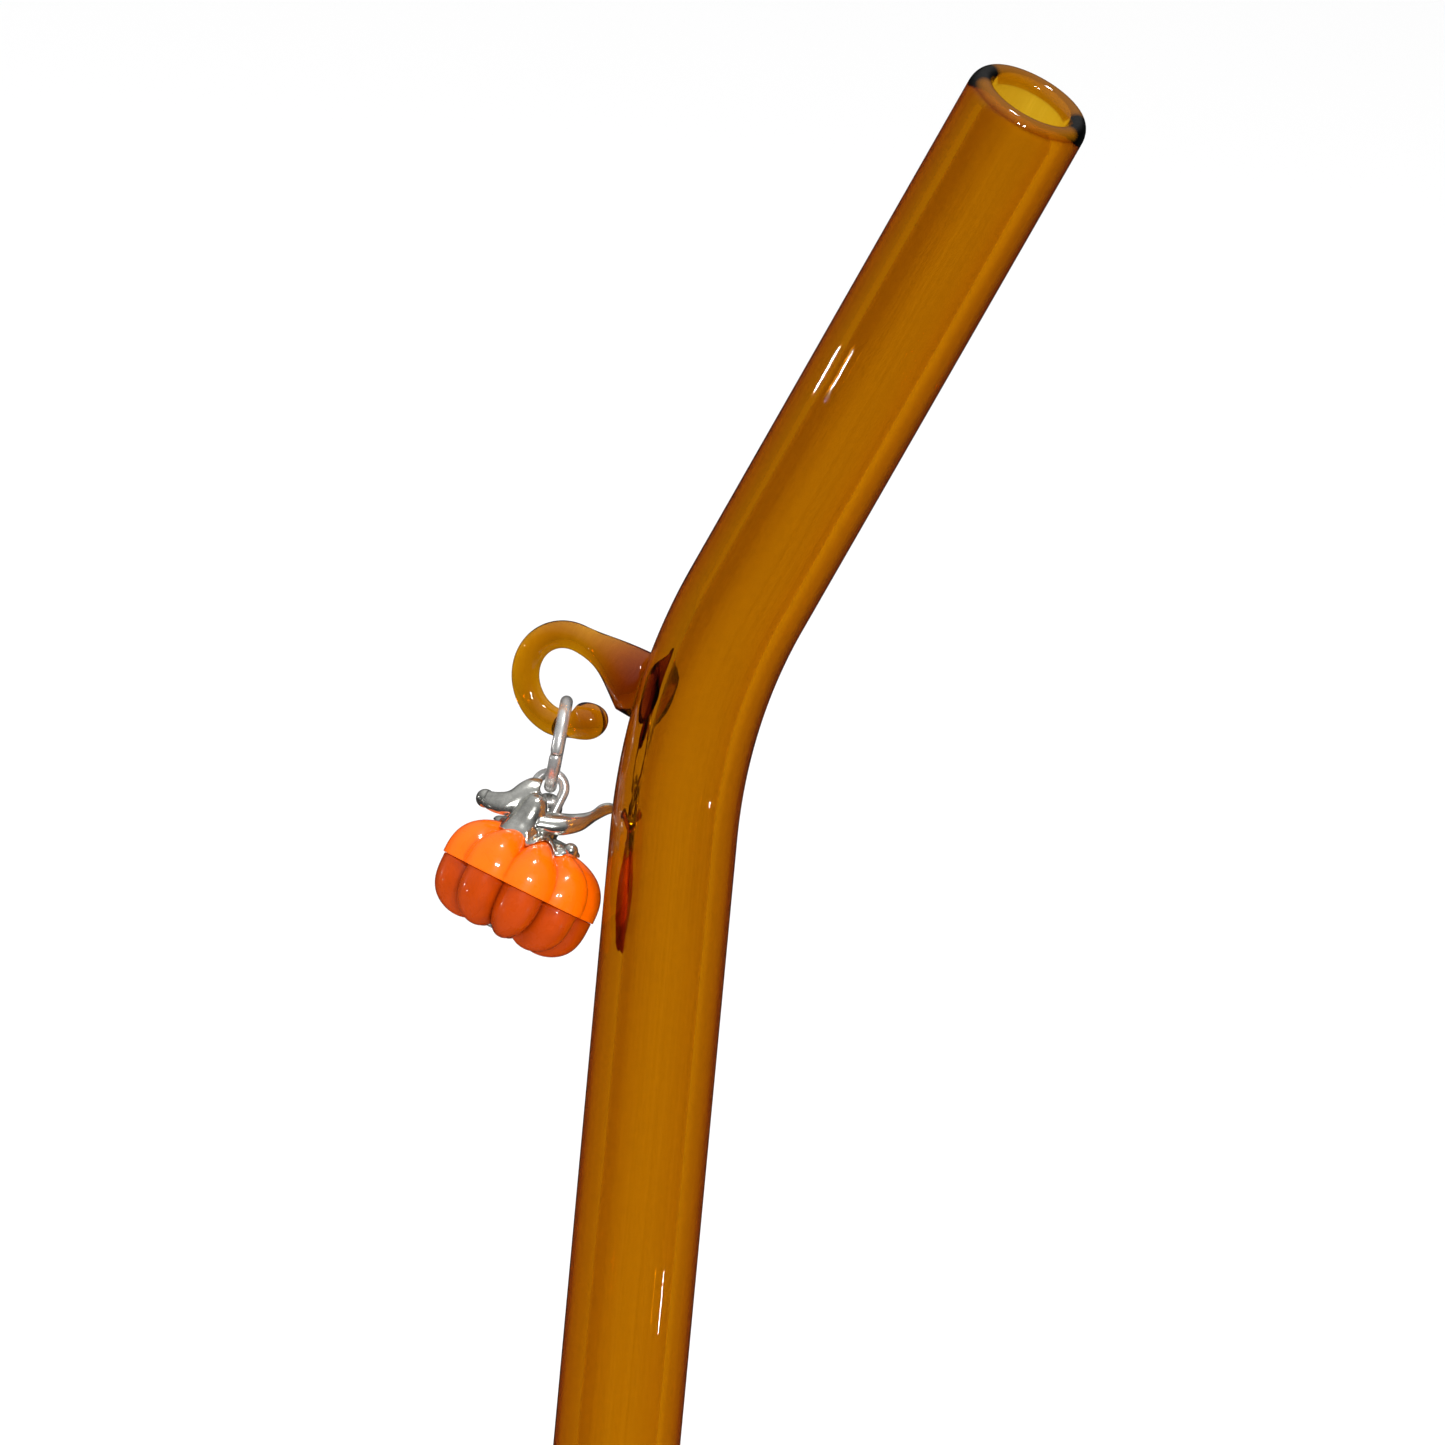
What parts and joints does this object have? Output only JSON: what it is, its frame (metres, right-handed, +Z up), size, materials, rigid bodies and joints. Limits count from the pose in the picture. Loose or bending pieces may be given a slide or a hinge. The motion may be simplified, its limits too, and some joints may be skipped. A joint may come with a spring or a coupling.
{
  "type": "glass drinking straw with charm",
  "caption": "Bent glass drinking straw with rounded ends, a glass hook fused to the outside of the bend, and a small pumpkin charm that swings from the hook on a jump ring.",
  "frame": {"origin": "on the axis of the lower leg, in the plane of its lower end", "axes": "+Z up along the lower leg; the straw bends towards +X in the XZ plane; the hook and charm are on the -X side"},
  "size_m": [0.0374, 0.0125, 0.1972],
  "materials": {
    "amber_glass": "clear amber glass, fire polished",
    "silver": "polished silver-coloured plating",
    "orange_enamel": "glossy orange enamel on metal"
  },
  "bodies": {
    "straw": {"straw_tube": "amber_glass", "charm_hook": "amber_glass"},
    "ring": {"jump_ring": "silver"},
    "charm": {"eye_pin": "silver", "leaf_cap": "silver", "pumpkin_upper_shell": "orange_enamel", "pumpkin_lower_shell": "orange_enamel"}
  },
  "joints": [
    {"name": "ring_swing", "type": "hinge", "parent": "straw", "child": "ring", "pos_m": [-0.00845, 0, 0.1501], "axis": [0.9063, 0.4125, -0.0926], "range_deg": [-10, 90]},
    {"name": "charm_swing", "type": "hinge", "parent": "ring", "child": "charm", "pos_m": [-0.00834, -0.00109, 0.14628], "axis": [-0.4219, 0.8689, -0.2588], "range_deg": [0, 60]}
  ]
}
